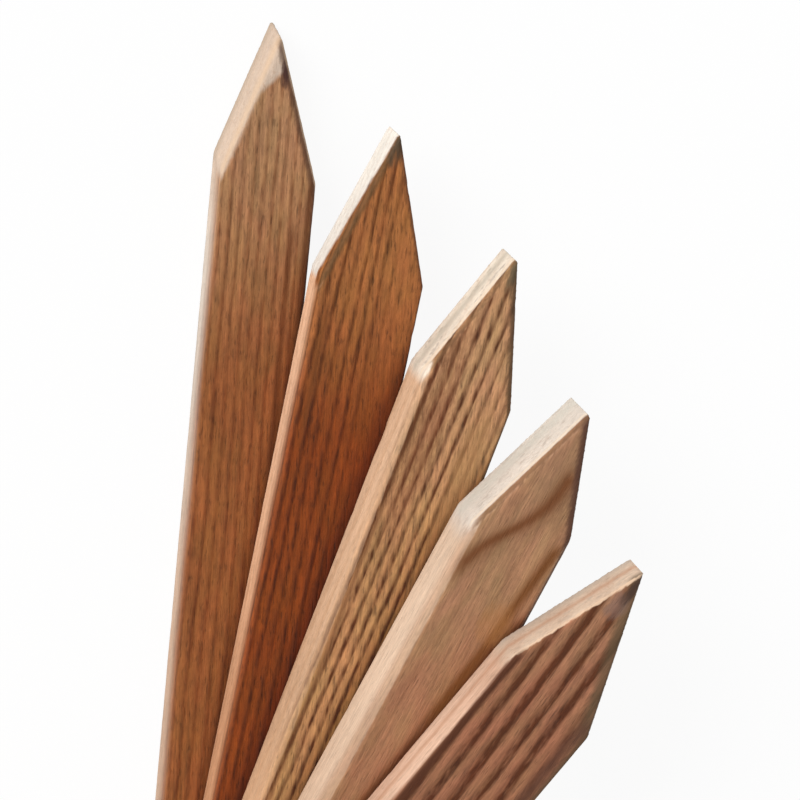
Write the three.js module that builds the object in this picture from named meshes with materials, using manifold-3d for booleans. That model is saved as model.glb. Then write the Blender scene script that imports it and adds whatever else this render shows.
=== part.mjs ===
// Five pointed wooden grade stakes, laid flat in a fan, broad face on broad face.
// Each stake is ripped softwood with eased long edges, crosscut square at the end that is driven
// and brought to a point by two slanting saw cuts through its narrow edges.
// Millimetres, +Z up. The bottom stake lies on the ground along +Y and points to +Y.
// The origin is the middle of its underside.
import * as THREE from 'three';
import { mergeVertices } from 'three/addons/utils/BufferGeometryUtils.js';
import Module from 'manifold-3d';

// Sizes that every stake shares
const STAKE_LENGTH = 457; // from the point to the driving end, 18 inches
const LAY_GAP = 0.3; // air between two stakes that lie on each other
const SAW_OVERRUN = 20; // how far the point cuts are drawn past the stock
const EDGE_FACETS = 4; // flats that make up one eased edge

// Sizes of each stake, seen from above with its point away, from the bottom of the pile to the top.
//   WIDTH, THICKNESS: the ripped section
//   LEFT_CUT, RIGHT_CUT: how far back from the point each slanting cut begins
//   POINT_OFFSET: how far the point stands to the right of the centre line
//   TIP_FLAT: width that is left standing across the point
//   CUT_LEAN: how far the upper end of the point stands back from its lower end
//   EDGE_RADIUS: the rounding of the four long edges
//   TURN_DEG: its turn from the stake below, clockwise, in degrees
//   CROSSING: where it crosses the stake below, behind that stake's point
//   REACH: how far its own point lies ahead of that crossing

// Stake 1, at the bottom, with a point that was cut out of square
const WIDTH_1 = 35;
const THICKNESS_1 = 17.5;
const LEFT_CUT_1 = 48;
const RIGHT_CUT_1 = 52.5;
const POINT_OFFSET_1 = -0.5;
const TIP_FLAT_1 = 1.2;
const CUT_LEAN_1 = 3;
const EDGE_RADIUS_1 = 1.5;

// Stake 2
const WIDTH_2 = 38;
const THICKNESS_2 = 17;
const LEFT_CUT_2 = 54;
const RIGHT_CUT_2 = 53;
const POINT_OFFSET_2 = -1;
const TIP_FLAT_2 = 0.8;
const CUT_LEAN_2 = 0;
const EDGE_RADIUS_2 = 1;
const TURN_DEG_2 = 6;
const CROSSING_2 = 433.5;
const REACH_2 = 405;

// Stake 3
const WIDTH_3 = 36;
const THICKNESS_3 = 20;
const LEFT_CUT_3 = 48.5;
const RIGHT_CUT_3 = 52;
const POINT_OFFSET_3 = -0.5;
const TIP_FLAT_3 = 0.8;
const CUT_LEAN_3 = 0;
const EDGE_RADIUS_3 = 1;
const TURN_DEG_3 = 9.5;
const CROSSING_3 = 303;
const REACH_3 = 272.5;

// Stake 4, the thickest, with the roundest edges
const WIDTH_4 = 36.5;
const THICKNESS_4 = 24;
const LEFT_CUT_4 = 52;
const RIGHT_CUT_4 = 44.5;
const POINT_OFFSET_4 = 1;
const TIP_FLAT_4 = 1;
const CUT_LEAN_4 = 0;
const EDGE_RADIUS_4 = 3;
const TURN_DEG_4 = 7.5;
const CROSSING_4 = 311.5;
const REACH_4 = 273.5;

// Stake 5, on top, the widest
const WIDTH_5 = 44;
const THICKNESS_5 = 17;
const LEFT_CUT_5 = 51;
const RIGHT_CUT_5 = 58.5;
const POINT_OFFSET_5 = -3.5;
const TIP_FLAT_5 = 0.8;
const CUT_LEAN_5 = 0;
const EDGE_RADIUS_5 = 1;
const TURN_DEG_5 = 12.5;
const CROSSING_5 = 238.5;
const REACH_5 = 202.5;

const STAKES = [
  {
    name: 'stake_1',
    width: WIDTH_1,
    thickness: THICKNESS_1,
    leftCut: LEFT_CUT_1,
    rightCut: RIGHT_CUT_1,
    pointOffset: POINT_OFFSET_1,
    tipFlat: TIP_FLAT_1,
    cutLean: CUT_LEAN_1,
    edgeRadius: EDGE_RADIUS_1,
    turn: 0,
    crossing: 0,
    reach: STAKE_LENGTH / 2,
    colour: 0x9b6a45,
  },
  {
    name: 'stake_2',
    width: WIDTH_2,
    thickness: THICKNESS_2,
    leftCut: LEFT_CUT_2,
    rightCut: RIGHT_CUT_2,
    pointOffset: POINT_OFFSET_2,
    tipFlat: TIP_FLAT_2,
    cutLean: CUT_LEAN_2,
    edgeRadius: EDGE_RADIUS_2,
    turn: TURN_DEG_2,
    crossing: CROSSING_2,
    reach: REACH_2,
    colour: 0x8f5630,
  },
  {
    name: 'stake_3',
    width: WIDTH_3,
    thickness: THICKNESS_3,
    leftCut: LEFT_CUT_3,
    rightCut: RIGHT_CUT_3,
    pointOffset: POINT_OFFSET_3,
    tipFlat: TIP_FLAT_3,
    cutLean: CUT_LEAN_3,
    edgeRadius: EDGE_RADIUS_3,
    turn: TURN_DEG_3,
    crossing: CROSSING_3,
    reach: REACH_3,
    colour: 0xa27650,
  },
  {
    name: 'stake_4',
    width: WIDTH_4,
    thickness: THICKNESS_4,
    leftCut: LEFT_CUT_4,
    rightCut: RIGHT_CUT_4,
    pointOffset: POINT_OFFSET_4,
    tipFlat: TIP_FLAT_4,
    cutLean: CUT_LEAN_4,
    edgeRadius: EDGE_RADIUS_4,
    turn: TURN_DEG_4,
    crossing: CROSSING_4,
    reach: REACH_4,
    colour: 0xb08560,
  },
  {
    name: 'stake_5',
    width: WIDTH_5,
    thickness: THICKNESS_5,
    leftCut: LEFT_CUT_5,
    rightCut: RIGHT_CUT_5,
    pointOffset: POINT_OFFSET_5,
    tipFlat: TIP_FLAT_5,
    cutLean: CUT_LEAN_5,
    edgeRadius: EDGE_RADIUS_5,
    turn: TURN_DEG_5,
    crossing: CROSSING_5,
    reach: REACH_5,
    colour: 0x93633f,
  },
];

const wasm = await Module();
wasm.setup();

// A closed three.js geometry as a solid that can be cut.
function toSolid(geometry) {
  const bare = geometry.clone();
  bare.deleteAttribute('normal');
  bare.deleteAttribute('uv');
  const merged = mergeVertices(bare);
  const mesh = new wasm.Mesh({
    numProp: 3,
    vertProperties: new Float32Array(merged.attributes.position.array),
    triVerts: new Uint32Array(merged.index.array),
  });
  return new wasm.Manifold(mesh);
}

// A cut solid back as a geometry with flat faces.
function toGeometry(solid) {
  const mesh = solid.getMesh();
  const indexed = new THREE.BufferGeometry();
  indexed.setAttribute('position', new THREE.BufferAttribute(mesh.vertProperties, mesh.numProp));
  indexed.setIndex(new THREE.BufferAttribute(mesh.triVerts, 1));
  const geometry = indexed.toNonIndexed();
  geometry.computeVertexNormals();
  return geometry;
}

// The ripped section: a rectangle with rounded corners, centred on the stake and standing on z = 0.
function sectionShape({ width, thickness, edgeRadius: r }) {
  const side = width / 2;
  const shape = new THREE.Shape();
  shape.moveTo(r - side, 0);
  shape.lineTo(side - r, 0);
  shape.absarc(side - r, r, r, -Math.PI / 2, 0);
  shape.lineTo(side, thickness - r);
  shape.absarc(side - r, thickness - r, r, 0, Math.PI / 2);
  shape.lineTo(r - side, thickness);
  shape.absarc(r - side, thickness - r, r, Math.PI / 2, Math.PI);
  shape.lineTo(-side, r);
  shape.absarc(r - side, r, r, Math.PI, Math.PI * 1.5);
  return shape;
}

// Stock that runs along Y, from a little past the point to the square driving end.
function stock(stake) {
  const geometry = new THREE.ExtrudeGeometry(sectionShape(stake), {
    depth: STAKE_LENGTH + SAW_OVERRUN,
    curveSegments: EDGE_FACETS,
    bevelEnabled: false,
  });
  geometry.rotateX(Math.PI / 2);
  geometry.translate(0, SAW_OVERRUN, 0);
  return geometry;
}

// What the two point cuts leave: a pointed prism, wider than the stock, with its point at y = 0.
// The cuts run through the whole thickness and lean back together by cutLean.
function pointPrism({ width, thickness, leftCut, rightCut, pointOffset, tipFlat, cutLean }) {
  const tipLeft = new THREE.Vector2(pointOffset - tipFlat / 2, 0);
  const tipRight = new THREE.Vector2(pointOffset + tipFlat / 2, 0);
  const leftShoulder = new THREE.Vector2(-width / 2, -leftCut);
  const rightShoulder = new THREE.Vector2(width / 2, -rightCut);
  const pastShoulder = (tip, shoulder) => {
    const along = shoulder.clone().sub(tip).normalize();
    return shoulder.clone().addScaledVector(along, SAW_OVERRUN);
  };
  const leftEnd = pastShoulder(tipLeft, leftShoulder);
  const rightEnd = pastShoulder(tipRight, rightShoulder);
  const back = -STAKE_LENGTH - SAW_OVERRUN;
  const outline = new THREE.Shape([
    new THREE.Vector2(leftEnd.x, back),
    new THREE.Vector2(rightEnd.x, back),
    rightEnd,
    tipRight,
    tipLeft,
    leftEnd,
  ]);
  const geometry = new THREE.ExtrudeGeometry(outline, {
    depth: thickness + 2 * SAW_OVERRUN,
    bevelEnabled: false,
  });
  geometry.translate(0, 0, -thickness / 2 - SAW_OVERRUN);
  geometry.applyMatrix4(new THREE.Matrix4().makeShear(0, 0, 0, 0, 0, -cutLean / thickness));
  geometry.translate(0, 0, thickness / 2);
  return geometry;
}

function stakeMesh(stake) {
  const solid = toSolid(stock(stake)).intersect(toSolid(pointPrism(stake)));
  const material = new THREE.MeshStandardMaterial({
    color: stake.colour,
    roughness: 0.75,
    metalness: 0,
  });
  const mesh = new THREE.Mesh(toGeometry(solid), material);
  mesh.name = stake.name;
  return mesh;
}

// The fan: each stake turns about the place where it crosses the one below and lies on its upper face.
const fan = new THREE.Group();
let carrier = fan;
let seatHeight = 0;
for (const stake of STAKES) {
  const cross = new THREE.Group();
  cross.position.set(0, -stake.crossing, seatHeight);
  cross.rotation.z = -THREE.MathUtils.degToRad(stake.turn);
  const body = new THREE.Group();
  body.position.y = stake.reach;
  body.add(stakeMesh(stake));
  cross.add(body);
  carrier.add(cross);
  carrier = body;
  seatHeight = stake.thickness + LAY_GAP;
}

export default fan;
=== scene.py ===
# %% [markdown]
# # Five wooden grade stakes, fanned flat
#
# A grade stake is a short length of ripped softwood. The saw leaves its broad faces rough, weather turns
# them brown, and two slanting cuts through its narrow edges give it a point to drive into the ground.
# Five of them lie in a fan here, broad face on broad face.
#
# The frame holds each stake as a plain solid at its real size and place. This lesson models the sawn and
# worn stake from those sizes, and gives each one the grain of its own piece of timber.

# %% Load the frame
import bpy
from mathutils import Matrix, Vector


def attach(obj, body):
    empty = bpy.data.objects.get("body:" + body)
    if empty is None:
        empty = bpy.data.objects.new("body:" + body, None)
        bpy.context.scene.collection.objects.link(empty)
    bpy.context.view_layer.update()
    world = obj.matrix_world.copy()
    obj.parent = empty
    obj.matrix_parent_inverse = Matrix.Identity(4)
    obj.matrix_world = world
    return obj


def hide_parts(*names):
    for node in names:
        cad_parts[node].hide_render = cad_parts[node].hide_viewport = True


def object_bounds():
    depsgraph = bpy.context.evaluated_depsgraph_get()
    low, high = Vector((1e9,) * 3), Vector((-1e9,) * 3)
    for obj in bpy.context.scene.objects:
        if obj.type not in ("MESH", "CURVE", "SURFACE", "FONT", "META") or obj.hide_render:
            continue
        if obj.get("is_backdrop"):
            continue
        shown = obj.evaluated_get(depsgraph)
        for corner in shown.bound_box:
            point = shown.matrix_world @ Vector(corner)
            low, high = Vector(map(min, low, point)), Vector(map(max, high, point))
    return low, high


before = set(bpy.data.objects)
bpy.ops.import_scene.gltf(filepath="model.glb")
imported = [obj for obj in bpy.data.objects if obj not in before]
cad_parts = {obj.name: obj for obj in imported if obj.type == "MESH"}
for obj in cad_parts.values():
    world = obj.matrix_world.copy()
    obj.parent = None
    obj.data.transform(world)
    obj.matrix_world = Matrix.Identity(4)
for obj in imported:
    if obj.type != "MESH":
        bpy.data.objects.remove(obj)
cad_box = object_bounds()
print("in the frame:", ", ".join(sorted(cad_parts)))

# %% Imports and units
from math import cos, pi, radians, sin
from types import SimpleNamespace

import bpy
from mathutils import Matrix, Vector

MM = 0.001  # the scene is in metres, and sizes below are in millimetres
UP = Vector((0, 0, 1))

# %% [markdown]
# ## Measuring the stakes
#
# Each stake lies at its own angle, so it is easiest to model straight, in a frame of its own: x to its
# right, y towards its point and z up from its underside. The sizes could be typed in again, but the solid
# already holds them. Its largest upright face is a narrow edge, its largest end face is the end that is
# driven, and every face that looks forward is a saw cut at the point.

# %% Read one stake from its solid
STRAIGHT = 0.01  # how far a unit normal may stray and still count as level or upright
FORWARD = 0.05  # how far a normal leans towards the point when its face is a saw cut
CLOSE = 0.01  # millimetres apart that still count as one height
LEFT, BLUNT, RIGHT = -1, 0, 1  # the side that a cut looks to, as its rounded normal


def read_stake(name):
    """A stake's place in the fan, and its sizes and saw cuts, left to right, in millimetres."""
    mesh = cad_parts[name].data
    upright = [face for face in mesh.polygons if abs(face.normal.z) < STRAIGHT]
    edge = max(upright, key=lambda face: face.area).normal
    lengthwise = UP.cross(edge)
    ends = [face for face in upright if abs(face.normal.dot(lengthwise)) > 1 - STRAIGHT]
    axis = -max(ends, key=lambda face: face.area).normal
    turn = Matrix((axis.cross(UP), axis, UP))
    corners = [turn @ vertex.co for vertex in mesh.vertices]
    low = Vector([min(corner[i] for corner in corners) for i in range(3)])
    high = Vector([max(corner[i] for corner in corners) for i in range(3)])
    point = Vector(((low.x + high.x) / 2, high.y, low.z))
    level_right = max(corner.x for corner in corners if corner.z > high.z - CLOSE * MM)
    cuts = {}
    for face in sorted(mesh.polygons, key=lambda face: face.area):
        normal = turn @ face.normal
        if normal.y > FORWARD:  # the largest face of each cut comes last, and stays
            cuts[round(normal.x)] = ((turn @ face.center - point) / MM, normal)
    return SimpleNamespace(
        name=name,
        turn=turn,
        point=turn.transposed() @ point,
        width=(high.x - low.x) / MM,
        length=(high.y - low.y) / MM,
        thickness=(high.z - low.z) / MM,
        radius=(high.x - level_right) / MM,
        cuts=[cuts[LEFT], cuts[BLUNT], cuts[RIGHT]],
    )


stakes = {name: read_stake(name) for name in sorted(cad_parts)}
for stake in stakes.values():
    print(f"{stake.name}: {stake.width:.1f} x {stake.thickness:.1f} x {stake.length:.1f} mm,",
          f"edges rounded {stake.radius:.1f} mm")

# %% [markdown]
# ## Camera
#
# The photograph looks down on the fan from beyond the points and to their left, with a long lens, and is
# turned so that the points are at the top. A camera can be aimed by a tracking constraint, but one matrix
# from its three directions also holds that turn.

# %% Place the camera
AIM = Vector((43.7, 108.8, 60)) * MM
DISTANCE = 1554.8 * MM
AZIMUTH = radians(-135.64)
ELEVATION = radians(67.35)
PICTURE_UP = radians(-5.88)  # heading of the picture's upright on the floor, from the bottom stake
LENS = 199

towards_camera = Vector((sin(AZIMUTH) * cos(ELEVATION), -cos(AZIMUTH) * cos(ELEVATION), sin(ELEVATION)))
upright = Vector((sin(PICTURE_UP), cos(PICTURE_UP), 0))
picture_right = upright.cross(towards_camera).normalized()
picture_up = towards_camera.cross(picture_right)

bpy.ops.object.camera_add()
camera = bpy.context.object
camera.data.lens = LENS
placed = Matrix((picture_right, picture_up, towards_camera)).transposed().to_4x4()
placed.translation = AIM + towards_camera * DISTANCE
camera.matrix_world = placed
bpy.context.scene.camera = camera
print("camera at", [round(part / MM) for part in placed.translation], "mm")

# %% [markdown]
# ## Shader maths
#
# Grain is arithmetic on places in the wood, and hundreds of nodes linked by hand are hard to read. One
# small class wraps a socket, so that an expression such as `1 - mask` adds the Math node that it needs.
# The same node types work in shader trees and in geometry trees. A grain that is written once can then
# colour the surface and also carve it, so the ridges lie where the dark bands are.

# %% A wrapped socket
class Signal:
    """A value, vector or colour in a node tree. Arithmetic on values adds Math nodes.

    With no socket it is only a place to start from.
    """

    def __init__(self, tree, socket=None):
        self.tree = tree
        self.socket = socket

    def node(self, kind, settings, inputs, output=0):
        """Adds a node, sets its settings and then its inputs, and returns an output, if it has any."""
        made = self.tree.nodes.new(kind)
        for key, value in settings.items():
            setattr(made, key, value)
        for key, value in inputs.items():
            if isinstance(value, Signal):
                self.tree.links.new(value.socket, made.inputs[key])
            else:
                made.inputs[key].default_value = value
        return Signal(self.tree, made.outputs[output]) if made.outputs else None

    def math(self, operation, *values):
        return self.node("ShaderNodeMath", {"operation": operation}, dict(enumerate(values)))

    def __add__(self, other):
        return self.math("ADD", self, other)

    def __sub__(self, other):
        return self.math("SUBTRACT", self, other)

    def __rsub__(self, other):
        return self.math("SUBTRACT", other, self)

    def __mul__(self, other):
        return self.math("MULTIPLY", self, other)

    def __truediv__(self, other):
        return self.math("DIVIDE", self, other)

    def __pow__(self, other):
        return self.math("POWER", self, other)

    __radd__ = __add__
    __rmul__ = __mul__


# %% [markdown]
# ## Floor and light
#
# The stakes lie on a pale studio floor that runs to white in the picture. More light would bleach the wood,
# so the floor is white by its own material: to the camera it is part white glow and part plain diffuse,
# and the diffuse part keeps the shadow. A broad lamp from beyond the points and to the left lights the
# narrow left edges more than the faces, and an even world fills the shade.

# %% A pale floor that keeps its shadow
FLOOR_SIZE = 12
FLOOR_GLOW = 0.92
FLOOR_COLOUR = (0.95, 0.95, 0.95, 1)
WHITE = (1, 1, 1, 1)


def seen_directly(tree):
    """1 for rays from the camera, and for those that a gloss or a glass sends on."""
    rays = ("Is Camera Ray", "Is Glossy Ray", "Is Transmission Ray")
    camera_ray, glossy, through = (Signal(tree).node("ShaderNodeLightPath", {}, {}, ray) for ray in rays)
    return camera_ray.math("MINIMUM", camera_ray + glossy + through, 1.0)


bpy.ops.object.select_all(action="DESELECT")
bpy.ops.mesh.primitive_plane_add(size=FLOOR_SIZE)
floor = bpy.context.object
floor.name = "studio_floor"
paint = bpy.data.materials.new("floor_paint")
paint.use_nodes = True
tree = paint.node_tree
tree.nodes.clear()
direct = seen_directly(tree)
matt = direct.node("ShaderNodeBsdfDiffuse", {}, {"Color": FLOOR_COLOUR})
glow = direct.node("ShaderNodeEmission", {}, {"Color": WHITE, "Strength": 1.0})
mixed = direct.node("ShaderNodeMixShader", {}, {0: direct * FLOOR_GLOW, 1: matt, 2: glow})
mixed.node("ShaderNodeOutputMaterial", {}, {"Surface": mixed})
floor.data.materials.append(paint)
floor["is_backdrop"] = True
print(f"{floor.name}: {FLOOR_SIZE} m across, {FLOOR_GLOW:.0%} glow to the camera")

# %% World and lamp
WORLD_FILL = 0.5
KEY_STRENGTH = 2.6
KEY_SOFTNESS = radians(35)
KEY_HEADING = Vector((-0.8, 0.6, 0))  # where the light comes from, on the floor
KEY_RISE = radians(35)

world = bpy.data.worlds.new("studio")
bpy.context.scene.world = world
world.use_nodes = True
background = world.node_tree.nodes["Background"]
direct = seen_directly(world.node_tree)
strength = direct * (1 - WORLD_FILL) + WORLD_FILL
background.inputs["Color"].default_value = WHITE
world.node_tree.links.new(strength.socket, background.inputs["Strength"])

bpy.ops.object.light_add(type="SUN")
key = bpy.context.object
key.data.energy = KEY_STRENGTH
key.data.angle = KEY_SOFTNESS
towards_key = KEY_HEADING.normalized() * cos(KEY_RISE) + UP * sin(KEY_RISE)
key.rotation_euler = towards_key.to_track_quat("Z", "Y").to_euler()
bpy.context.scene.view_settings.view_transform = "Standard"
print(f"a level face gets {WORLD_FILL + KEY_STRENGTH * sin(KEY_RISE) / pi:.2f} of its colour")

# %% [markdown]
# ## Ripped stock
#
# The mill rips a board into lengths of one section and eases their long edges. An outline could be
# extruded, but a block takes the sizes of the stake as they are, and a bevel eases its edges as a plane
# does. The upper edges are rounder than the lower ones, so each pair has a bevel of its own.

# %% A block with eased edges
EDGE_STEPS = 4
OVERRUN = 20  # how far the block stands past the point before it is cut
EASED_UNDER = 0.6  # the long edges of the underside are sharper than those above


def add_block(stake):
    """A block of the stake's section, a little longer than the stake."""
    bpy.ops.object.select_all(action="DESELECT")
    block_length = stake.length + OVERRUN
    middle = Vector((0, OVERRUN - block_length / 2, stake.thickness / 2))
    bpy.ops.mesh.primitive_cube_add(size=MM, location=middle * MM)
    piece = bpy.context.object
    piece.scale = (stake.width, block_length, stake.thickness)
    bpy.ops.object.transform_apply(location=True, rotation=True, scale=True)
    return piece


def ease_edges(piece, height, radius):
    """Rounds the two long edges of a block that lie at one height."""
    bpy.context.tool_settings.mesh_select_mode = (False, True, False)
    mesh = piece.data
    for part in (mesh.vertices, mesh.edges, mesh.polygons):
        part.foreach_set("select", [False] * len(part))
    for edge in mesh.edges:
        start, end = (mesh.vertices[i].co / MM for i in edge.vertices)
        level = abs(start.z - height) < CLOSE and abs(end.z - height) < CLOSE
        edge.select = level and abs(start.y - end.y) > OVERRUN
    bpy.ops.object.mode_set(mode="EDIT")
    bpy.ops.mesh.bevel(offset=radius * MM, segments=EDGE_STEPS, affect="EDGES")
    bpy.ops.object.mode_set(mode="OBJECT")


# %% [markdown]
# ## The point
#
# Two slanting saw cuts make the point, and leave a little width at its very tip. A boolean with a wedge
# would do, but a bisect is the saw cut itself: a plane that throws the waste away and fills the sawn face.
# The saw also tears the rims of its own cuts, so each rim loses a narrow strip to one more bisect, at a
# slant between the cut and the broad face.

# %% Saw the point
TORN_UNDER = 0.5  # width that the lower rims lose


def torn_rims(stake, torn):
    """Planes that take the rims off the left and the right cut, above and below."""
    left, _, right = stake.cuts
    for (place, normal), torn_above in zip((left, right), torn):
        level = Vector((normal.x, normal.y, 0)).normalized()
        for height, outwards, width in ((stake.thickness, UP, torn_above), (0, -UP, TORN_UNDER)):
            lift = height - place.z
            rim = place + UP * lift - level * (normal.z * lift / normal.dot(level))
            yield rim - level * width, (level + outwards).normalized()


def saw_stake(stake, torn):
    """A stake in its own frame, cut to size, with its point at the origin."""
    piece = add_block(stake)
    piece.name = "sawn_" + stake.name
    ease_edges(piece, 0, EASED_UNDER)
    ease_edges(piece, stake.thickness, stake.radius)
    bpy.ops.object.mode_set(mode="EDIT")
    for place, normal in [*stake.cuts, *torn_rims(stake, torn)]:
        bpy.ops.mesh.select_all(action="SELECT")
        bpy.ops.mesh.bisect(plane_co=place * MM, plane_no=normal, use_fill=True, clear_outer=True)
    bpy.ops.object.mode_set(mode="OBJECT")
    return piece


# %% [markdown]
# ## Where the wood wears
#
# Chips and rubbed edges sit where two faces meet. On a block with flat faces that place is easy to
# find: at a point of the surface the distance to its own face is nothing, and the second smallest distance
# to any face is the distance to the nearest sharp edge.

# %% Steps on values and vectors
def vector_math(operation, first, *others, output=0):
    values = dict(enumerate((first, *others)))
    return first.node("ShaderNodeVectorMath", {"operation": operation}, values, output)


def split(point):
    """The x, y and z of a vector."""
    return [point.node("ShaderNodeSeparateXYZ", {}, {0: point}, output=i) for i in range(3)]


def scaled(vector, factor):
    """A vector, or a colour, times a value."""
    return vector.node("ShaderNodeVectorMath", {"operation": "SCALE"}, {0: vector, "Scale": factor})


def least(values):
    """The smallest of some values."""
    smallest = values[0]
    for value in values[1:]:
        smallest = value.math("MINIMUM", smallest, value)
    return smallest


# %% Distances to the faces of a stake
def face_distances(point, stake):
    """Millimetres from a point inwards to each face of a stake."""
    x, y, z = split(point)
    cuts = []
    for place, normal in stake.cuts:
        cuts.append(normal.dot(place) - vector_math("DOT_PRODUCT", point, normal, output="Value"))
    left_cut, blunt, right_cut = cuts
    return SimpleNamespace(
        upper=stake.thickness - z,
        under=z,
        left=x + stake.width / 2,
        right=stake.width / 2 - x,
        driven=y + stake.length,
        cuts=cuts,
        left_cut=left_cut,
        blunt=blunt,
        right_cut=right_cut,
    )


def second_least(values):
    """The smallest but one of some values."""
    smallest = values[0].math("MINIMUM", values[0], values[1])
    second = values[0].math("MAXIMUM", values[0], values[1])
    for value in values[2:]:
        second = value.math("MINIMUM", second, value.math("MAXIMUM", smallest, value))
        smallest = value.math("MINIMUM", smallest, value)
    return second


# %% [markdown]
# ## Growth rings
#
# A tree adds a ring a year: pale soft wood in spring, and a dark band in summer. The board is a slice
# of those cylinders, so one formula gives stripes on its broad faces, lines on its narrow edges and arcs on
# its ends. A Wave texture draws rings too, but here each band must have a slow start and a sharp end,
# wander with the trunk, and fray where the saw tore it.

# %% Smooth steps, and noise at a given grain
SEED_STEPS = (1.7, 2.9, 4.3)  # how many lumps one step of the seed moves a pattern along each axis
NOISE_DETAIL = 2.0
NOISE_MIDDLE = 0.5


def noise(point, pattern, seed):
    """Noise of about -0.3 to 0.3. A pattern is its lumps' size across, along and through, and a seed."""
    lump, own_seed = pattern
    squeeze = tuple(1 / size for size in lump)
    shift = tuple((seed + own_seed) * step for step in SEED_STEPS)
    place = vector_math("MULTIPLY_ADD", point, squeeze, shift)
    inputs = {"Vector": place, "Scale": 1.0, "Detail": NOISE_DETAIL}
    return point.node("ShaderNodeTexNoise", {}, inputs) - NOISE_MIDDLE


def rise(value, start, end):
    """0 below start, 1 above end, and a smooth step between them."""
    limits = {"Value": value, "From Min": start, "From Max": end}
    return value.node("ShaderNodeMapRange", {"interpolation_type": "SMOOTHSTEP"}, limits)


def fall(value, start, end):
    """1 below start, 0 above end, and a smooth step between them."""
    return 1 - rise(value, start, end)


# %% Rings
# Patterns of noise: the size of their lumps across, along and through the wood, and a seed of their own
TRUNK_ACROSS = ((30, 170, 30), 0)
TRUNK_THROUGH = ((30, 170, 30), 5)
FRAYED = ((1.2, 14, 1.2), 3)
DASHES = ((1.7, 7, 1.7), 7)
DARK_FROM, DARK_TO = 0.74, 0.78  # between these parts of a year its band is darkest
YEAR_LEAST, YEAR_SPREAD = 0.7, 0.4  # the weakest year's band, and how much stronger the strongest one is


def slanted(point, slope):
    """The point slid sideways by its place along the stake, so that noise read there runs at a slant."""
    x, y, z = split(point)
    return x.node("ShaderNodeCombineXYZ", {}, {0: x - y * slope, 1: y, 2: z})


def growth(point, wood):
    """How dark the summer wood is at a point, from 0 to about 1."""
    x, y, z = split(point)
    across = x - wood.pith[0] - y * wood.drift + noise(point, TRUNK_ACROSS, wood.seed) * wood.wander
    across = across + noise(point, FRAYED, wood.seed) * wood.fray
    through = z - wood.pith[1] + noise(point, TRUNK_THROUGH, wood.seed) * wood.wander
    ring = (across * across + through * through) ** 0.5 / wood.spacing + wood.phase
    part = ring.math("FRACT", ring)
    band = rise(part, wood.spring, DARK_FROM) * fall(part, DARK_TO, 1.0)
    one_year = {"W": ring.math("FLOOR", ring)}
    year = ring.node("ShaderNodeTexWhiteNoise", {"noise_dimensions": "1D"}, one_year)
    broken = noise(slanted(point, wood.slant), DASHES, wood.seed) * wood.dashes
    start, end, share = wood.calm
    strength = (year * YEAR_SPREAD + YEAR_LEAST + broken) * (1 - rise(x, start, end) * share)
    return ring.math("MAXIMUM", band * strength, 0.0)


# %% Fibres and pores
COARSE_FIBRES = ((1.1, 22, 1.1), 11)
FINE_FIBRES = ((0.5, 7, 0.5), 13)
FINE_SHARE = 0.8
PORES = ((0.8, 5, 0.8), 17)
OPEN_FROM, OPEN_FULLY = 0.06, 0.2  # noise at which a pore begins, and at which it is darkest


def fibres(point, seed):
    """Fine light and dark streaks along the wood, about 0."""
    return noise(point, COARSE_FIBRES, seed) + noise(point, FINE_FIBRES, seed) * FINE_SHARE


def pores(point, pattern, seed):
    """Short dark dashes, 1 in the middle of a dash."""
    return rise(noise(point, pattern, seed), OPEN_FROM, OPEN_FULLY)


# %% [markdown]
# ## Relief
#
# Rough-sawn wood isn't flat. Soft spring wood wears down between the dark bands, the saw leaves its
# scratches, and the sharp edges lose splinters. Bump alone would leave the outline straight, so the mesh is
# remeshed finely and really moved, by a geometry tree that reads the same growth rings. It only moves the
# surface inwards, so a stake never grows into its neighbour.

# %% How deep a place is worn
SAW_MARKS = ((1.3, 5, 1.3), 19)
SPLINTERS = ((4, 14, 4), 21)
BAND_RELIEF = 0.1
FIBRE_RELIEF = 0.12
SAW_RELIEF = 0.12
RUBBED = 0.1
CHIPPED = 0.55
INWARDS = 0.4  # lifts noise above 0, so that it only presses in
NEAR_EDGE = (0.2, 2.4)  # millimetres from a sharp edge at which wear is full, and at which it ends
NEAR_FACE = (0.4, 1.2)  # the same for the hollows below a broad face
SPLINTERED = (0.1, 0.3)  # noise at which a splinter begins, and at which it is deepest


def wear(point, stake, wood):
    """Millimetres that the surface has lost at a point."""
    to = face_distances(point, stake)
    faces = [to.upper, to.under, to.left, to.right, to.driven, *to.cuts]
    near_edge = fall(second_least(faces), *NEAR_EDGE)
    level = fall(least([to.upper, to.under]), *NEAR_FACE)
    hollow = (1 - growth(point, wood)) * level * BAND_RELIEF
    torn = (fibres(slanted(point, wood.slant), wood.seed) + INWARDS) * FIBRE_RELIEF
    scratches = (noise(point, SAW_MARKS, wood.seed) + INWARDS) * SAW_RELIEF
    splinters = rise(noise(point, SPLINTERS, wood.seed), *SPLINTERED) * CHIPPED
    return hollow + torn + scratches + near_edge * (splinters + RUBBED)


# %% Carve a stake and lay it in the fan
VOXEL = 0.85


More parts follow.
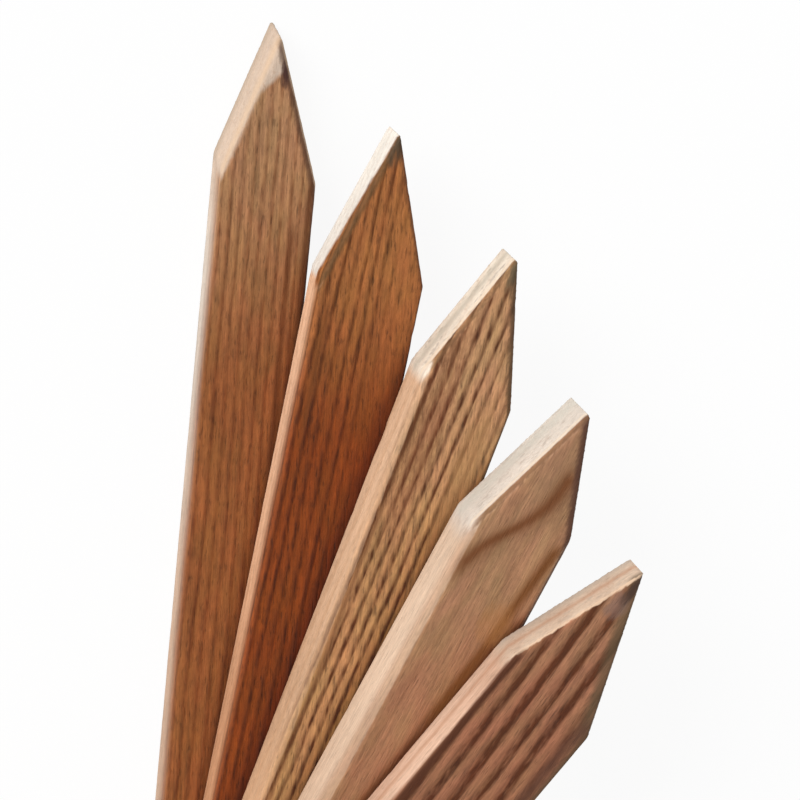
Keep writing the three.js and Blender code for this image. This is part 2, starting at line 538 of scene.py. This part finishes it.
def carving(stake, wood):
    """A geometry tree that presses the worn places of a stake in."""
    tree = bpy.data.node_groups.new("carving_" + stake.name, "GeometryNodeTree")
    tree.interface.new_socket("Geometry", in_out="INPUT", socket_type="NodeSocketGeometry")
    tree.interface.new_socket("Geometry", in_out="OUTPUT", socket_type="NodeSocketGeometry")
    solid = Signal(tree).node("NodeGroupInput", {}, {})
    point = scaled(solid.node("GeometryNodeInputPosition", {}, {}), 1 / MM)
    normal = solid.node("GeometryNodeInputNormal", {}, {})
    moved = {"Geometry": solid, "Offset": scaled(normal, wear(point, stake, wood) * -MM)}
    carved = solid.node("GeometryNodeSetPosition", {}, moved)
    carved.node("NodeGroupOutput", {}, {0: carved})
    return tree


def apply_modifier(piece, kind, settings):
    bpy.ops.object.modifier_add(type=kind)
    modifier = piece.modifiers[-1]
    for key, value in settings.items():
        setattr(modifier, key, value)
    bpy.ops.object.modifier_apply(modifier=modifier.name)


def carve_stake(piece, stake, wood):
    apply_modifier(piece, "REMESH", {"mode": "VOXEL", "voxel_size": VOXEL * MM})
    apply_modifier(piece, "NODES", {"node_group": carving(stake, wood)})
    bpy.ops.object.shade_smooth()


def lay_stake(piece, stake):
    """Moves a stake from its own frame to its place in the fan, and leaves the place in its mesh."""
    piece.matrix_world = Matrix.Translation(stake.point) @ stake.turn.transposed().to_4x4()
    bpy.ops.object.transform_apply(location=True, rotation=True, scale=True)


# %% [markdown]
# ## The finish of sawn timber
#
# One solid finish runs right through each stake, so faces, edges and saw cuts agree where they meet. The
# other way, a material for each face, would show a seam along every edge. The pattern reads Object
# coordinates, and a Mapping node brings them into the stake's own frame. Everything that the finish needs
# to know of a place is gathered once: its distances to the faces, its rings and its noise.

# %% What the finish knows of a place
BLOTCHES = ((14, 60, 14), 23)
WARMTH = ((6, 18, 6), 25)
FLAKES = ((2.2, 7, 2.2), 27)
SPECKLE = ((0.8, 2.6, 0.8), 29)
SCRATCHES = ((50, 1.3, 50), 31)
END_PORES = ((0.9, 1.2, 0.9), 37)


def in_frame(here, stake):
    """Object coordinates as millimetres in the frame of a stake."""
    return here.node("ShaderNodeMapping", {"vector_type": "TEXTURE"}, {
        "Vector": here,
        "Location": stake.point,
        "Rotation": stake.turn.transposed().to_euler(),
        "Scale": (MM, MM, MM),
    })


def survey(here, stake, wood):
    """What is known of a place: x to the right of the middle, back from the point, faces, rings, noise."""
    point = in_frame(here, stake)
    grain = slanted(point, wood.slant)
    x, y, _ = split(point)
    to = face_distances(point, stake)
    return SimpleNamespace(
        here=here,
        x=x,
        back=y * -1,
        to=to,
        sawn=least(to.cuts),
        summer=growth(point, wood),
        streaks=fibres(grain, wood.seed),
        pores=pores(grain, PORES, wood.seed),
        blotches=noise(point, BLOTCHES, wood.seed),
        warmth=noise(point, WARMTH, wood.seed),
        flakes=noise(grain, FLAKES, wood.seed),
        speckle=noise(point, SPECKLE, wood.seed),
        scratches=noise(point, SCRATCHES, wood.seed),
        end_pores=pores(point, END_PORES, wood.seed),
    )


# %% [markdown]
# ## Weathered faces and bare wood
#
# Weather browns the broad faces: between the growth bands lie fibres, pores and the scratches of the saw,
# and the tone drifts from olive to red. The narrow edges are paler, and browner towards the end that is
# driven. The fresh cuts are the palest, with grey smears and open pores, and the driven end shows the
# rings. A colour ramp for each face could hold such tones, but a blend from one named tone to another says
# in words what it does.

# %% Steps on colours
COLOUR_A, COLOUR_B, COLOUR_RESULT = 6, 7, 2  # a Mix node's colour sockets


def srgb(tone):
    """A tone of red, green and blue, 0 to 255 as in a picture editor, as the colour that nodes take."""
    parts = [part / 255 for part in tone]
    linear = [part / 12.92 if part < 0.04045 else ((part + 0.055) / 1.055) ** 2.4 for part in parts]
    return (*linear, 1.0)


def blend(share, colour, other):
    """The first colour where the share is 0, and the other where it is 1."""
    inputs = {0: share, COLOUR_A: colour, COLOUR_B: other}
    return share.node("ShaderNodeMix", {"data_type": "RGBA"}, inputs, output=COLOUR_RESULT)


def tinted(colour, tint):
    """A colour times a plain tint of red, green and blue."""
    return vector_math("MULTIPLY", colour, tint)


# %% The look of a broad face
OLIVE = (0.95, 1.01, 0.92)
RUDDY = (1.05, 0.98, 0.98)
OLIVE_TO_RUDDY = (-0.25, 0.25)
FACE_STREAKS, FACE_BLOTCHES, FACE_SPECKLE, FACE_SCRATCHES = 0.7, 0.5, 0.4, 0.08


def face_colour(at, wood):
    """Weathered wood: growth bands, fibres, pores and the scratches of the saw."""
    colour = blend(at.summer * wood.contrast, srgb(wood.light), srgb(wood.dark))
    colour = blend(rise(at.warmth, *OLIVE_TO_RUDDY), tinted(colour, OLIVE), tinted(colour, RUDDY))
    tone = 1 + at.streaks * FACE_STREAKS + at.blotches * FACE_BLOTCHES
    tone = tone + at.flakes * wood.mottle + at.speckle * FACE_SPECKLE
    colour = scaled(colour, tone - at.pores * wood.pores + at.scratches * FACE_SCRATCHES)
    # further back from the point the face is blended towards a darker, warmer tint
    return blend(rise(at.back, *wood.aged), colour, tinted(colour, wood.age))


# %% The look of bare wood
SMEAR = (164, 148, 134)
SMEARED = (0.02, 0.22)  # noise at which a smear begins, and at which it is full
FACE_DEPTH = 0.3  # carved places this far below a face still belong to it
END_DEPTH = 1.0
EDGE_BROWNS = (90, 240)  # how far back from the point the narrow edges begin to brown, and are brown
EDGE_BROWNED = 0.6
EDGE_STREAKS, EDGE_PORES = 0.4, 0.15
CUT_STREAKS, CUT_LINES = 0.25, 0.4
END_LIGHT, END_BANDS, END_DOTS = 1.1, 0.8, 0.25
BARE_BLOTCHES, BARE_SPECKLE = 0.4, 0.3


def edge_colour(at, wood):
    """The narrow edges, with the lines of the rings, browner towards the end that is driven."""
    colour = blend(at.summer * wood.contrast * wood.edge_lines, srgb(wood.edge), srgb(wood.light))
    colour = blend(rise(at.back, *EDGE_BROWNS) * EDGE_BROWNED, colour, srgb(wood.light))
    return scaled(colour, 1 + at.streaks * EDGE_STREAKS - at.pores * EDGE_PORES)


def cut_colour(at, wood):
    """The fresh saw cuts at the point, smeared by the saw, with open pores."""
    colour = blend(rise(at.flakes, *SMEARED) * wood.smears, srgb(wood.cut), srgb(SMEAR))
    colour = blend(at.end_pores * wood.cut_pores, colour, srgb(wood.light))
    colour = blend(at.summer * wood.contrast * wood.edge_lines * CUT_LINES, colour, srgb(wood.light))
    return scaled(colour, 1 + at.streaks * CUT_STREAKS)


def bare_colour(at, wood):
    """The narrow edges, the saw cuts, and the end grain of the end that is driven."""
    end = blend(at.summer * END_BANDS, srgb(wood.light), srgb(wood.dark))
    end = scaled(end, END_LIGHT - at.end_pores * END_DOTS)
    colour = blend(fall(at.sawn, FACE_DEPTH, wood.cut_fade), edge_colour(at, wood), cut_colour(at, wood))
    colour = blend(fall(at.to.driven, FACE_DEPTH, END_DEPTH), colour, end)
    return scaled(colour, 1 + at.blotches * BARE_BLOTCHES + at.speckle * BARE_SPECKLE)


# %% [markdown]
# ## How far the brown reaches
#
# The brown is only skin deep. It lies on the broad faces, laps over the narrow edges and, on some stakes,
# over the rims of the cuts. Beside the left cut and the left edge it has worn off in strips. A painted
# mask could show that on one stake, but limits in millimetres serve all five, and noise frays them.

# %% The weathered skin
KEPT = -3  # a strip that ends outside the stake, so that nothing is bared
SKIN_SPECKLE = 0.2
TIP_SHARE = 0.25  # the share of a bared strip's reach over which it has its full width
LAP_START = 0.2
LAP_BLOTCHES = 4

# Millimetres from a face at which a part of the skin begins to end, and at which it has ended
UPPER_SKIN = (0.3, 1.0)
UNDER_SKIN = (0.35, 0.7)
ON_CUTS = (1.0, 3.0)
ON_EDGES = (2.5, 3.5)
BEHIND_CUTS = (0.5, 2.0)


def unbared(at, wood):
    """1 where the brown is whole, 0 where it has worn off beside the left cut and the left edge."""
    near_tip = fall(at.to.blunt, wood.bared_reach * TIP_SHARE, wood.bared_reach)
    strip = wood.bared_cut + (wood.bared_tip - wood.bared_cut) * near_tip
    inside = least([at.to.left_cut - strip, at.to.left - wood.bared_edge])
    return rise(inside + at.flakes * wood.ragged, -wood.soft, wood.soft)


def lap_over_cuts(at, wood):
    """Brown that runs down over the upper rims of the cuts."""
    depth = at.to.upper + at.flakes * wood.ragged - at.back * wood.cut_slope
    return fall(depth, *wood.cut_lap) * fall(at.sawn, *ON_CUTS)


def lap_over_edges(at, wood):
    """Brown that runs down over the narrow edges, behind the cuts."""
    reach, share = wood.edge_lap
    past = at.to.upper + at.to.left.math("MAXIMUM", wood.bared_edge - at.to.left, 0.0)
    lap = fall(past + at.blotches * LAP_BLOTCHES, LAP_START, reach) * rise(at.sawn, *BEHIND_CUTS) * share
    return lap * fall(least([at.to.left, at.to.right]), *ON_EDGES)


def greatest(values):
    """The largest of some values."""
    largest = values[0]
    for value in values[1:]:
        largest = value.math("MAXIMUM", largest, value)
    return largest


def brown_skin(at, wood):
    """1 where the wood is weathered: the broad faces, and some way over the edges and the cuts."""
    ragged = at.speckle * SKIN_SPECKLE * wood.ragged
    under = fall(at.to.under + ragged, *UNDER_SKIN)
    upper = fall(at.to.upper + ragged, *UPPER_SKIN)
    upper = greatest([upper, lap_over_cuts(at, wood)]) * unbared(at, wood)
    return greatest([under, upper, lap_over_edges(at, wood)])


# %% Put the finish together
BUMP_SUMMER, BUMP_SPECKLE, BUMP_PORES, BUMP_SCRATCHES = 0.4, 0.8, 0.5, 0.2
BUMP_DEPTH = 0.25
BUMP_STRENGTH = 0.6
DULL, DULL_STREAKS = 0.74, 0.2
GLOSS = 0.25


def timber(stake, wood):
    """The material of one stake."""
    material = bpy.data.materials.new(wood.slot)
    material.use_nodes = True
    tree = material.node_tree
    shader = tree.nodes["Principled BSDF"]
    at = survey(Signal(tree).node("ShaderNodeTexCoord", {}, {}, output="Object"), stake, wood)
    at.skin = brown_skin(at, wood)
    colour = blend(at.skin, bare_colour(at, wood), face_colour(at, wood))
    for mark in wood.marks:
        colour = mark(at, colour)

    height = at.summer * BUMP_SUMMER + at.streaks + at.speckle * BUMP_SPECKLE
    height = height - at.pores * BUMP_PORES + at.scratches * BUMP_SCRATCHES
    bumps = {"Height": height, "Distance": BUMP_DEPTH * MM, "Strength": BUMP_STRENGTH}
    bump = height.node("ShaderNodeBump", {}, bumps)
    roughness = DULL + at.streaks * DULL_STREAKS
    tree.links.new(colour.socket, shader.inputs["Base Color"])
    tree.links.new(roughness.socket, shader.inputs["Roughness"])
    tree.links.new(bump.socket, shader.inputs["Normal"])
    shader.inputs["Specular IOR Level"].default_value = GLOSS
    return material


# %% [markdown]
# ## Stains and painted shade
#
# Weather leaves its marks: a dark spot of resin, and a streak where the grain sweeps past a knot. Where the
# next stake lies on this one, painted contact shade darkens the face, darkest along that stake's rim. Each
# mark is a small function that takes the colour so far and lays its own tone over it, so a stake's finish
# is a list of the marks that it has. The alternative, one large tree per stake, would repeat the same nodes
# many times.

# %% Spots, streaks and painted contact shade
TOP_DEPTH = (1.0, 2.5)  # millimetres below the upper face at which streaks and damp fade, and end
SPOT_DEPTH = (0.6, 1.6)
SPOT_RIM = (0.0, 1.4)  # shares of a spot's size, from its middle to where it ends
SPOT_RAGGED = 1.2
STREAK_SPECKLE = 0.5
FADE_IN, FADE_OUT = 8, 15
SHADE_SPECKLE, SHADE_BLOTCHES = 2, 4
SHADE_DARKEST, SHADE_FAINTEST = 1.0, 7.0  # how far inside the other stake's rim the painted shade is darkest, and faintest
SHADE_FADED = 0.75


def on_top(at):
    """1 on the weathered upper face, 0 on bare wood and below."""
    return at.skin * fall(at.to.upper, *TOP_DEPTH)


def spot(x, back, wide, long, tone, share=0.9):
    """A ragged spot of its own tone on the upper face, with its middle at x and at a distance back from the
    point.
    """
    def mark(at, colour):
        across = (at.x - x) / wide
        along = (at.back - back) / long
        ragged = across * across + along * along + (at.speckle + at.flakes) * SPOT_RAGGED
        mask = fall(ragged, *SPOT_RIM) * fall(at.to.upper, *SPOT_DEPTH)
        return blend(mask * share, colour, srgb(tone))
    return mark


def bell(value):
    """1 at 0, and less to both sides: almost nothing at -2 and 2."""
    return value.math("EXPONENT", value * value * -1)


def streak(path, wide, start, end, tone, share):
    """A band on the upper face along a path, which gives x for a distance back, from start to end."""
    def mark(at, colour):
        off = (at.x - path(at.back)) / wide + at.speckle * STREAK_SPECKLE + at.blotches
        faded = rise(at.back, start, start + FADE_IN) * fall(at.back, end - FADE_OUT, end)
        return blend(bell(off) * faded * on_top(at) * share, colour, srgb(tone))
    return mark


def straight(x):
    """A path along the stake."""
    return lambda back: x


def contact_shade(cover, tint, reach):
    """Painted contact shade where another stake lies on this one, darkest along that stake's rim."""
    def mark(at, colour):
        to = face_distances(in_frame(at.here, cover), cover)
        inside = least([to.left, to.right, to.driven, *to.cuts])
        inside = inside + at.speckle * SHADE_SPECKLE + at.blotches * SHADE_BLOTCHES
        # painted shade: darkest just inside the other stake's rim, and fading further in
        shade_share = rise(inside, -reach, SHADE_DARKEST) * (1 - rise(inside, SHADE_DARKEST, SHADE_FAINTEST) * SHADE_FADED)
        return blend(shade_share * on_top(at), colour, tinted(colour, tint))
    return mark


# %% [markdown]
# ## Rims and layers
#
# Dark lines run along the rims of the cuts. On the right side, which looks away from the lamp, the line
# is painted shade, and it runs on along the edge. Where the saw split a rim, pale wood shows. A cut
# also runs through layers of older and younger wood, which lie level in it. All of them are bands at a
# distance from a face, so the distances that carved the wear place them too.

# %% Dark rims, a split rim and layers
RIM_SPECKLE = 1.5
RIM_CORE = 0.4  # the share of a rim's width that is fully dark
EDGE_THINNER = 1.8  # how much thinner the right rim's line is along the edge than along the cut
RIM_TOP = 0.4  # a rim is fully dark down to here, and ends at its depth
RIGHT_DEPTH = 4.0
SPLIT_FROM, SPLIT_TO = 0.7, 1.2  # shares of a split's width at which it begins to end, and ends
LAYER_DEPTH = (0.3, 1.5)
BEFORE_END = (0.5, 1.5)


def left_rim(wide, tone, share, depth):
    """A dark line on the brown along the left cut, and down over the rim of that cut."""
    def mark(at, colour):
        rim = at.to.left_cut + at.speckle * RIM_SPECKLE
        mask = fall(rim, wide * RIM_CORE, wide) * fall(at.to.upper, RIM_TOP, depth)
        return blend(mask * at.skin * share, colour, srgb(tone))
    return mark


def right_rim_shade(wide, tone, share):
    """Painted shade: a dark line on the upper face along the right cut, and thinner along the right long
    edge.
    """
    def mark(at, colour):
        rim = least([at.to.right_cut, at.to.right * EDGE_THINNER]) + at.speckle * RIM_SPECKLE
        # painted shade: the right rims and the right long edge look away from the lamp, and are darkened
        mask = fall(rim, wide * RIM_CORE, wide) * fall(at.to.upper, RIM_TOP, RIGHT_DEPTH)
        return blend(mask * share, colour, srgb(tone))
    return mark


def split_rim(wide, tone, share):
    """Pale wood where the saw split the upper rim of the left cut."""
    def mark(at, colour):
        rim = greatest([at.to.left_cut, at.to.upper]) + at.speckle + at.flakes
        return blend(fall(rim, wide * SPLIT_FROM, wide * SPLIT_TO) * share, colour, srgb(tone))
    return mark


def layer(height, thick, tone, share, cuts_only=True):
    """A band of other wood at one height, across the saw cuts and, if asked for, along the narrow edges."""
    def mark(at, colour):
        off = (at.to.under - height) / thick + at.flakes
        mask = bell(off) * (1 - at.skin) * rise(at.to.driven, *BEFORE_END)
        if cuts_only:
            mask = mask * fall(at.sawn, *LAYER_DEPTH)
        return blend(mask * share, colour, srgb(tone))
    return mark


# %% [markdown]
# ## One timber and the next
#
# The stakes were ripped from different boards, so each has rings, colours and stains of its own. Five
# materials could be built one by one, but then a better grain would have to be mended five times. So one
# function makes a stake from the values of its timber, and what most of them share is written once.
#
# - seed: moves the noise, so that no two stakes have the same flecks
# - pith: where the heart of the tree lay, across from the stake's middle and up from its underside
# - spacing, phase, spring: a year's growth in millimetres, where the count starts, and its pale part
# - drift, wander, fray: how the rings slant along the stake, how far they bend, and how far they fray
# - dashes, slant: how much the bands break up, and the slant of the breaks
# - calm: from this x to that, the bands fade by this share
# - contrast, pores, mottle: how strong the bands, the pores and the flakes are
# - light, dark, edge, cut: the tones of spring wood, summer wood, narrow edges and saw cuts
# - age, aged: a darker, warmer tint of the face, and how far back from the point it begins and is full
# - edge_lines, cut_pores, smears, cut_fade: rings on the edges, pores and smears on the cuts, and how far
#   from a cut its tone fades out
# - bared_tip, bared_reach, bared_cut, bared_edge: how wide the brown has worn off beside the left cut, at
#   the tip and behind that reach, and beside the left edge
# - ragged, soft: how frayed and how soft the rim of the brown is
# - edge_lap, cut_lap, cut_slope: how far down the brown laps over the edges, and its share, where it begins
#   and ends to fade on the cuts, and how much deeper it goes there with each millimetre back
# - torn: the width that the upper rims of the left and the right cut lose
# - marks: stains, painted shade, rims and layers, in the order in which they are laid on

# %% Make one stake
USUAL = dict(
    phase=0.0,
    spring=0.3,
    drift=0.0,
    calm=(0, 1, 0.0),  # nothing fades
    bared_tip=KEPT,
    bared_reach=1,
    bared_cut=KEPT,
    bared_edge=KEPT,
    soft=0.5,
    cut_lap=(0.4, 1.2),
    cut_slope=0.0,
)


def make_stake(name, **own):
    """Models a stake, gives it the timber that its own values describe, and puts it on its body."""
    wood = SimpleNamespace(**{**USUAL, **own})
    stake = stakes[name]
    piece = saw_stake(stake, wood.torn)
    carve_stake(piece, stake, wood)
    lay_stake(piece, stake)
    piece.data.materials.append(timber(stake, wood))
    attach(piece, name)
    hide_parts(name)
    print(f"{piece.name}: {len(piece.data.polygons)} faces of {wood.slot}")


# %% [markdown]
# ## Stake 1
#
# The bottom stake is brown and finely grained. Its cuts were sawn out of square, and beside the left one
# the brown has worn off in a strip that widens towards the tip. That strip could be a mark like the rest,
# but as part of the brown's own limit it bares the wood below, cut and rim alike. A drop of resin has
# stained the point, and two dark streaks run along the right side; the outer one is painted shade beside
# the right arris.

# %% Stake 1, brown and finely grained
make_stake(
    "stake_1",
    slot="brown_pine",
    seed=1.0,
    pith=(-80, -30),
    spacing=3.2,
    wander=6,
    fray=1.2,
    dashes=2.4,
    slant=-0.06,
    contrast=0.55,
    pores=0.28,
    mottle=0.65,
    light=(172, 128, 92),
    dark=(118, 72, 42),
    age=(0.67, 0.43, 0.25),
    aged=(15, 140),
    edge=(206, 192, 178),
    edge_lines=0.3,
    cut=(200, 177, 157),
    cut_pores=0.3,
    smears=0.2,
    cut_fade=12,
    bared_tip=8,
    bared_reach=22,
    bared_cut=1.0,
    ragged=3,
    soft=1.6,
    edge_lap=(14, 1.0),
    torn=(1.4, 1.2),
    marks=[
        contact_shade(stakes["stake_2"], tint=(0.6, 0.46, 0.34), reach=5),
        right_rim_shade(wide=3.6, tone=(88, 58, 42), share=0.8),
        spot(x=2.6, back=15.3, wide=2.0, long=6.5, tone=(66, 38, 34)),
        streak(straight(10), wide=1.2, start=68, end=260, tone=(92, 46, 16), share=0.75),
        # painted shade beside the right arris
        streak(straight(15.4), wide=1.5, start=50, end=260, tone=(84, 44, 16), share=0.8),
        layer(height=1.5, thick=3.5, tone=(174, 154, 134), share=0.8),
        layer(height=16, thick=3, tone=(212, 180, 148), share=0.6),
    ],
)

# %% [markdown]
# ## Stake 2
#
# This one is red brown heartwood, with close rings that fade towards its right side. The brown runs down
# over the rim of the left cut, deeper towards the shoulder, so the pale cut narrows there. A stripe could
# be laid on for it, but the bare cut itself shows below the brown, and ends where the brown does.

# %% Stake 2, red brown
make_stake(
    "stake_2",
    slot="red_brown_pine",
    seed=2.0,
    pith=(-70, -50),
    spacing=2.7,
    wander=6,
    fray=1.2,
    dashes=2.6,
    slant=-0.16,
    calm=(0, 9, 0.75),
    contrast=0.75,
    pores=0.36,
    mottle=0.6,
    light=(162, 102, 56),
    dark=(100, 54, 20),
    age=(0.6, 0.35, 0.16),
    aged=(40, 120),
    edge=(238, 191, 155),
    edge_lines=0.3,
    cut=(234, 227, 216),
    cut_pores=0.12,
    smears=0.0,
    cut_fade=1.3,
    ragged=3,
    edge_lap=(10, 1.0),
    cut_lap=(0.2, 3.4),
    cut_slope=0.1,
    torn=(0.4, 0.5),
    marks=[
        contact_shade(stakes["stake_3"], tint=(0.5, 0.36, 0.26), reach=8),
        right_rim_shade(wide=2.0, tone=(92, 54, 34), share=0.6),
        left_rim(wide=2.8, tone=(92, 66, 38), share=0.75, depth=5.0),
        spot(x=-1.2, back=2, wide=4, long=10, tone=(66, 56, 42), share=0.75),
        streak(straight(-14.6), wide=1.0, start=60, end=120, tone=(100, 54, 20), share=0.6),
    ],
)

# %% [markdown]
# ## Stake 3
#
# Light wood with dark dashed streaks. Strokes could be laid on one by one, but here the growth bands
# themselves are broken up by slanted noise, so the carved ridges follow them. The left cut shows a grey
# layer with a pale one above it.

# %% Stake 3, light with dark streaks
make_stake(
    "stake_3",
    slot="streaked_pine",
    seed=3.0,
    pith=(-90, -30),
    spacing=3.7,
    phase=0.9,
    spring=0.28,
    drift=0.035,
    wander=5,
    fray=1.3,
    dashes=1.9,
    slant=-0.24,
    calm=(1, 12, 0.5),
    contrast=0.95,
    pores=0.34,
    mottle=0.9,
    light=(184, 138, 100),
    dark=(86, 46, 22),
    age=(0.93, 0.9, 0.78),
    aged=(40, 130),
    edge=(212, 174, 141),
    edge_lines=0.35,
    cut=(226, 212, 194),
    cut_pores=0.2,
    smears=0.6,
    cut_fade=2.0,
    bared_edge=1.7,
    ragged=1.5,
    edge_lap=(6, 0.6),
    cut_lap=(2.6, 3.8),
    torn=(0.8, 0.9),
    marks=[
        contact_shade(stakes["stake_4"], tint=(0.58, 0.5, 0.4), reach=7),
        spot(x=-9, back=67, wide=6, long=40, tone=(122, 66, 38), share=0.4),
        spot(x=9, back=77, wide=5, long=26, tone=(172, 128, 82), share=0.45),
        right_rim_shade(wide=3.2, tone=(84, 62, 42), share=0.85),
        left_rim(wide=1.8, tone=(104, 76, 46), share=0.6, depth=5.0),
        layer(height=15.4, thick=1.0, tone=(238, 214, 184), share=0.6),
        spot(x=-0.3, back=5, wide=1.6, long=7, tone=(96, 82, 60), share=0.8),
        spot(x=-12, back=36, wide=3, long=9, tone=(104, 66, 40), share=0.6),
        streak(straight(-14.8), wide=1.0, start=46, end=300, tone=(104, 62, 34), share=0.6),
        layer(height=7.2, thick=2.4, tone=(188, 176, 158), share=0.75),
    ],
)

# %% [markdown]
# ## Stake 4
#
# The thickest stake is pale and smooth, with the roundest edges. One sweep of dark grain crosses its face
# behind the point, where the trunk grew round a knot. Even rings can't give such a line, so it is laid on
# as two streaks along one curve, a faint broad one and a dark narrow one.

# %% Stake 4, pale, with a sweep of dark grain
SWEEP_MIDDLE = 50  # how far back from the point the sweep crosses
SWEEP_REACH = 11  # how far it swings to each side
SWEEP_LENGTH = 14


def sweep(x):
    """A path that swings over from the right to the left of x as it runs back."""
    return lambda back: x - SWEEP_REACH * back.math("TANH", (back - SWEEP_MIDDLE) / SWEEP_LENGTH)


def slanting(x, from_back, slope):
    """A path that leaves x at a distance back from the point, and moves left with each millimetre."""
    return lambda back: x - (back - from_back) * slope


make_stake(
    "stake_4",
    slot="pale_pine",
    seed=4.0,
    pith=(-60, -70),
    spacing=6.0,
    wander=12,
    fray=0.5,
    dashes=0.5,
    slant=0.0,
    contrast=0.12,
    pores=0.1,
    mottle=0.15,
    light=(163, 122, 91),
    dark=(120, 72, 42),
    age=(0.95, 0.87, 0.86),
    aged=(60, 120),
    edge=(215, 188, 163),
    edge_lines=0.3,
    cut=(214, 202, 189),
    cut_pores=0.2,
    smears=0.45,
    cut_fade=4.0,
    bared_edge=0.4,
    ragged=1,
    soft=2.2,
    edge_lap=(11, 0.65),
    cut_lap=(1.8, 3.0),
    torn=(1.4, 0.9),
    marks=[
        contact_shade(stakes["stake_5"], tint=(0.6, 0.44, 0.36), reach=5),
        contact_shade(stakes["stake_5"], tint=(0.6, 0.5, 0.4), reach=2.5),
        spot(x=2, back=17, wide=14, long=24, tone=(136, 102, 78), share=0.3),
        streak(sweep(-2.5), wide=4.5, start=15, end=75, tone=(122, 82, 56), share=0.3),
        streak(sweep(-5.5), wide=2.8, start=17, end=79, tone=(110, 64, 32), share=0.95),
        streak(slanting(14.2, 51, 0.15), wide=2.4, start=43, end=130, tone=(112, 66, 28), share=0.95),
        spot(x=7, back=82, wide=7, long=9, tone=(174, 120, 70), share=0.4),
        right_rim_shade(wide=4.2, tone=(82, 52, 40), share=0.9),
        left_rim(wide=1.8, tone=(110, 78, 52), share=0.7, depth=4.0),
        layer(height=20.2, thick=0.9, tone=(234, 212, 184), share=0.6),
        layer(height=6, thick=4, tone=(198, 194, 182), share=0.6),
    ],
)

# %% [markdown]
# ## Stake 5
#
# The top stake is the widest and boldly striped. Its rings are broad, and the heart of the tree lay level
# with it, so the bands stand upright in the wood and cross its face as straight stripes. The saw split the
# upper rim of its left cut, and a layer of darker wood runs along its narrow edge.

# %% Stake 5, boldly striped
make_stake(
    "stake_5",
    slot="striped_pine",
    seed=5.0,
    pith=(-120, -10),
    spacing=7.2,
    phase=0.09,
    spring=0.12,
    drift=-0.07,
    wander=3,
    fray=1.6,
    dashes=1.8,
    slant=-0.1,
    contrast=1.0,
    pores=0.22,
    mottle=0.5,
    light=(163, 114, 86),
    dark=(86, 45, 22),
    age=(0.92, 0.84, 0.8),
    aged=(20, 80),
    edge=(212, 176, 151),
    edge_lines=0.35,
    cut=(206, 181, 158),
    cut_pores=0.25,
    smears=0.4,
    cut_fade=3.0,
    bared_edge=0.5,
    ragged=0.8,
    edge_lap=(2.4, 0.8),
    torn=(0.8, 0.8),
    marks=[
        right_rim_shade(wide=6.5, tone=(92, 74, 52), share=0.75),
        split_rim(wide=1.0, tone=(226, 194, 164), share=0.8),
        spot(x=-3.5, back=15, wide=4.5, long=6, tone=(140, 112, 100), share=0.5),
        spot(x=-2.6, back=7, wide=2.0, long=8, tone=(62, 42, 36), share=0.75),
        streak(straight(-19.8), wide=1.6, start=44, end=300, tone=(80, 42, 22), share=1.0),
        streak(straight(18), wide=3.0, start=50, end=140, tone=(86, 54, 40), share=0.8),
        layer(height=2, thick=2.5, tone=(180, 165, 150), share=0.6),
        layer(height=8.4, thick=1.5, tone=(178, 128, 98), share=0.55, cuts_only=False),
    ],
)

# %% [markdown]
# ## Sizes
#
# Wear only takes wood away, so the finished stakes stay inside the box of the plain solids. Both boxes are
# kept and printed.

# %% Keep both boxes, and finish
boxes = {"cad": cad_box, "visual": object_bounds()}
for key, (low, high) in boxes.items():
    print(key, "box:", " x ".join(f"{(end - start) / MM:.1f}" for start, end in zip(low, high)), "mm")
